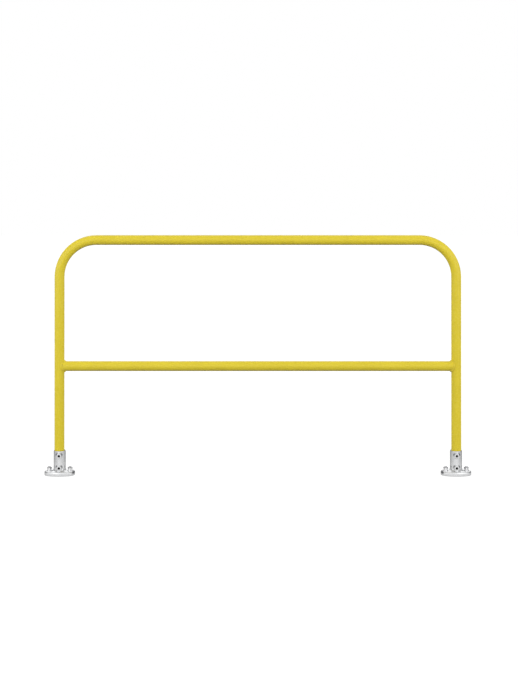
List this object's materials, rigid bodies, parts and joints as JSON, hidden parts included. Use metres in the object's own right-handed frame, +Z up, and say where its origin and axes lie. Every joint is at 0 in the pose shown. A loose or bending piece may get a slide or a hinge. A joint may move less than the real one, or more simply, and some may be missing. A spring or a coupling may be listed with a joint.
{
  "type": "industrial guard rail",
  "caption": "Floor-mounted pipe guard rail: a bent pipe frame with round corners and a welded mid rail, clamped in the sockets of cast oval base flanges that are bolted to the floor.",
  "frame": {"origin": "on the floor, midway between the two base flanges", "axes": "+X along the rail, from the left post to the right one; -Y towards the front, where the set screws are; +Z up the posts"},
  "size_m": [1.9186, 0.0875, 1.077],
  "materials": {
    "yellow_coat": "satin",
    "galvanised_casting": "satin",
    "zinc_plate": "gloss"
  },
  "bodies": {
    "root": {"rail_frame": "yellow_coat", "mid_rail": "yellow_coat", "weld_left": "yellow_coat", "weld_right": "yellow_coat", "base_flange_left": "galvanised_casting", "base_flange_right": "galvanised_casting", "set_screw_left_lower": "zinc_plate", "set_screw_left_upper": "zinc_plate", "anchor_stud_left_inner": "zinc_plate", "anchor_nut_left_inner": "zinc_plate", "flat_washer_left_inner": "zinc_plate", "lock_washer_left_inner": "zinc_plate", "anchor_stud_left_outer": "zinc_plate", "anchor_nut_left_outer": "zinc_plate", "flat_washer_left_outer": "zinc_plate", "lock_washer_left_outer": "zinc_plate", "set_screw_right_lower": "zinc_plate", "set_screw_right_upper": "zinc_plate", "anchor_stud_right_inner": "zinc_plate", "anchor_nut_right_inner": "zinc_plate", "flat_washer_right_inner": "zinc_plate", "lock_washer_right_inner": "zinc_plate", "anchor_stud_right_outer": "zinc_plate", "anchor_nut_right_outer": "zinc_plate", "flat_washer_right_outer": "zinc_plate", "lock_washer_right_outer": "zinc_plate"}
  },
  "joints": []
}
